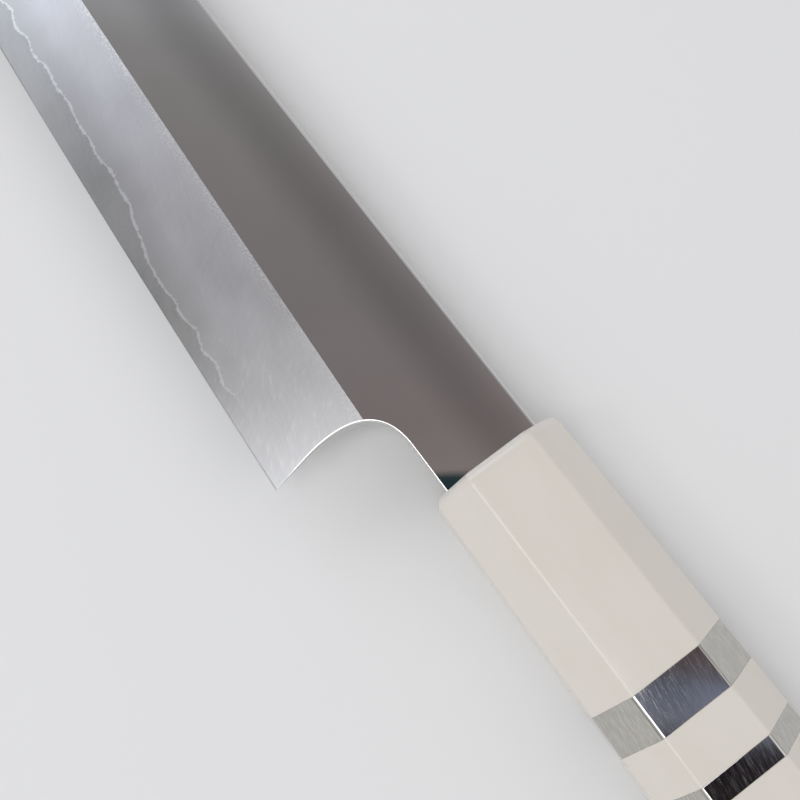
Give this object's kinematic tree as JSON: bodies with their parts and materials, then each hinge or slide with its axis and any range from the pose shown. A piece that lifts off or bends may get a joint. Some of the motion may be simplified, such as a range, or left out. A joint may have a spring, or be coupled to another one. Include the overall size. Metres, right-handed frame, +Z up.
{
  "type": "sujihiki knife",
  "caption": "Long slim slicing knife: laminated wide-bevel blade with a crisp shinogi line, rounded choil and hidden tang, on a tapered octagonal cream handle with polished metal bands.",
  "frame": {"origin": "on the resting plane, below the middle of the knife's length and height", "axes": "+X from tip to butt, +Y from edge to spine, +Z up through the left face; the knife lies on its right side"},
  "size_m": [0.4316, 0.0432, 0.0211],
  "materials": {
    "core_steel": "hazy, stone-polished",
    "cladding_steel": "mirror-polished flat, hazy bevel",
    "cream_resin": "polished, faintly streaked",
    "nickel_silver": "polished, fine scratches",
    "dowel_wood": "bare wood",
    "bedding_resin": "cured resin"
  },
  "bodies": {
    "root": {"core_steel": "core_steel", "left_cladding": "cladding_steel", "right_cladding": "cladding_steel", "ferrule": "cream_resin", "wide_band": "nickel_silver", "middle_ring": "cream_resin", "narrow_band": "nickel_silver", "handle_body": "cream_resin", "dowel": "dowel_wood", "tang_bedding": "bedding_resin"}
  },
  "joints": []
}
